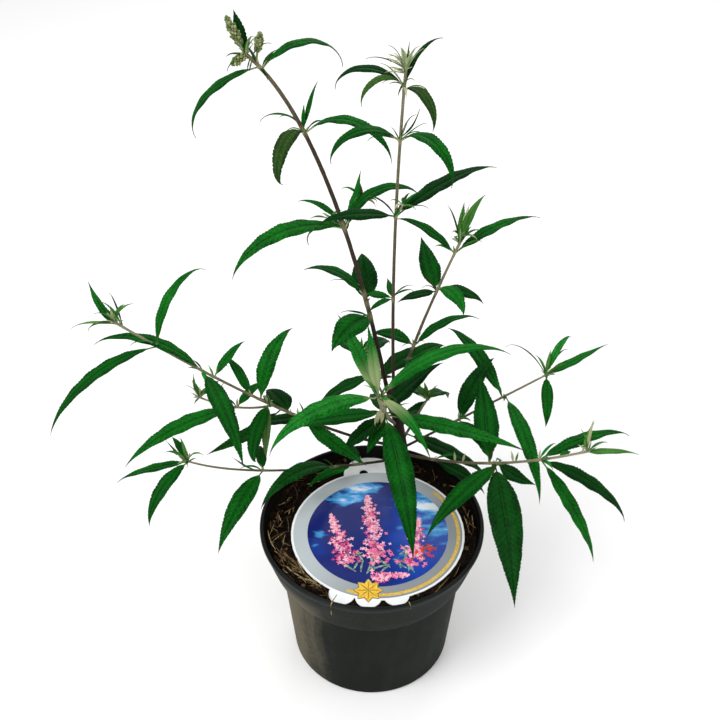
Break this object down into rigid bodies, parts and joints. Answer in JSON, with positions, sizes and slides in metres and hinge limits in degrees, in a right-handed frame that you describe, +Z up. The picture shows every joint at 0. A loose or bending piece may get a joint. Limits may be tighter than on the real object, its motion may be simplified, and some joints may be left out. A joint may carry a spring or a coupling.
{
  "type": "potted butterfly bush",
  "caption": "Young butterfly bush with narrow arching leaves and a few bud spikes, growing in a round nursery pot with a flared collar; a round picture label lies on the soil.",
  "frame": {"origin": "centre of the pot's flat underside", "axes": "+Z up the pot's axis; -Y towards the side from which the label reads; +X to the right seen from there"},
  "size_m": [0.4128, 0.2637, 0.4974],
  "materials": {
    "pot": "charcoal moulded plastic, matte, dusty on the wall and a little shiny on the lip",
    "soil": "dark moist peat with straw and bark fibres",
    "label": "smooth printed plastic sheet, white with a picture disc and a silver ring",
    "bark": "thin brown bark, speckled, slightly ridged, paler and felted towards the tips",
    "foliage": "dark green wrinkled leaves with pale felted undersides, pale felted shoots and greenish buds"
  },
  "bodies": {
    "root": {"pot": "pot", "root_ball": "soil", "plant_label": "label", "trunk": "bark", "bough_tall_left": "bark", "leaves_tall_left": "foliage", "bough_tall_middle": "bark", "leaves_tall_middle": "foliage", "bough_right": "bark", "leaves_right": "foliage", "bough_front": "bark", "leaves_front": "foliage", "bough_far_left": "bark", "leaves_far_left": "foliage", "bough_low_left": "bark", "leaves_low_left": "foliage", "bough_low_right": "bark", "leaves_low_right": "foliage", "bough_high_right": "bark", "leaves_high_right": "foliage", "bough_back_left": "bark", "leaves_back_left": "foliage", "bough_back_right": "bark", "leaves_back_right": "foliage"}
  },
  "joints": []
}
